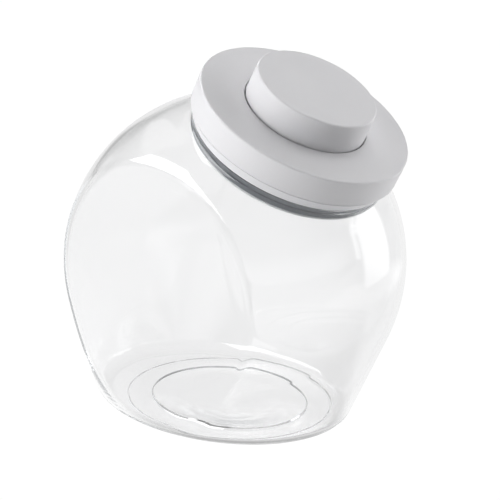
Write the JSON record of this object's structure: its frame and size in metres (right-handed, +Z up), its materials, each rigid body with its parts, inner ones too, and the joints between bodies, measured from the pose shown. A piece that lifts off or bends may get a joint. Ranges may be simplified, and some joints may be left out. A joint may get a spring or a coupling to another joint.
{
  "type": "storage container",
  "caption": "Clear slant-mouthed food storage jar with flat side grips and an airtight lid that seals and releases with a large press button.",
  "frame": {"origin": "on the surface the jar stands on, under the middle of the whole object's outline, with the lid on and the button up", "axes": "+Z up; +X the way the mouth and lid lean; +Y across, so that the two flat grips face +Y and -Y"},
  "size_m": [0.2292, 0.1592, 0.2407],
  "materials": {
    "clear_plastic": "polished, transparent",
    "white_plastic": "satin moulded white",
    "inner_plastic": "plain moulded off-white",
    "grey_acetal": "smooth light grey",
    "grey_silicone": "soft matte dark grey",
    "stainless_steel": "drawn wire and ground pins"
  },
  "bodies": {
    "jar": {"jar_body": "clear_plastic"},
    "lid": {"lid_cover": "white_plastic", "lid_chassis": "inner_plastic", "latch_sleeve": "inner_plastic", "seal_gasket": "grey_silicone", "return_spring": "stainless_steel", "lever_pin_front": "stainless_steel", "lever_pin_far": "stainless_steel", "lever_pin_back": "stainless_steel", "lever_pin_near": "stainless_steel"},
    "button": {"button_cap": "white_plastic", "button_plunger": "inner_plastic"},
    "rotor": {"latch_rotor": "grey_acetal"},
    "plate": {"draw_plate": "inner_plastic"},
    "lever_front": {"lift_lever_front": "grey_acetal"},
    "lever_far": {"lift_lever_far": "grey_acetal"},
    "lever_back": {"lift_lever_back": "grey_acetal"},
    "lever_near": {"lift_lever_near": "grey_acetal"}
  },
  "joints": [
    {"name": "lid_lift", "type": "slide", "parent": "jar", "child": "lid", "axis": [0.475, 0, 0.88], "range_m": [0, 0.08]},
    {"name": "button_press", "type": "slide", "parent": "lid", "child": "button", "axis": [-0.475, 0, -0.88], "range_m": [0, 0.017], "stiffness_N_per_m": 600, "springref_m": -0.005, "deforming": ["return_spring"]},
    {"name": "plate_draw", "type": "slide", "parent": "lid", "child": "plate", "axis": [0.475, 0, 0.88], "range_m": [0, 0.002], "deforming": ["seal_gasket"]},
    {"name": "rotor_turn", "type": "hinge", "parent": "button", "child": "rotor", "pos_m": [0.0532, 0, 0.2031], "axis": [0.475, 0, 0.88], "range_deg": [0, 45]},
    {"name": "lever_turn_front", "type": "hinge", "parent": "lid", "child": "lever_front", "pos_m": [0.07133, 0, 0.17774], "axis": [0, -1, 0], "range_deg": [0, 62.02]},
    {"name": "lever_turn_far", "type": "hinge", "parent": "lid", "child": "lever_far", "pos_m": [0.04669, 0.028, 0.19104], "axis": [0.88, 0, -0.475], "range_deg": [0, 62.02]},
    {"name": "lever_turn_back", "type": "hinge", "parent": "lid", "child": "lever_back", "pos_m": [0.02205, 0, 0.20434], "axis": [0, 1, 0], "range_deg": [0, 62.02]},
    {"name": "lever_turn_near", "type": "hinge", "parent": "lid", "child": "lever_near", "pos_m": [0.04669, -0.028, 0.19104], "axis": [-0.88, 0, 0.475], "range_deg": [0, 62.02]}
  ],
  "couplings": [
    {"joint": "plate_draw", "follows": "button_press", "ratio": 0.11765},
    {"joint": "lever_turn_front", "follows": "button_press", "rad_per_m": 63.669},
    {"joint": "lever_turn_far", "follows": "button_press", "rad_per_m": 63.669},
    {"joint": "lever_turn_back", "follows": "button_press", "rad_per_m": 63.669},
    {"joint": "lever_turn_near", "follows": "button_press", "rad_per_m": 63.669}
  ]
}
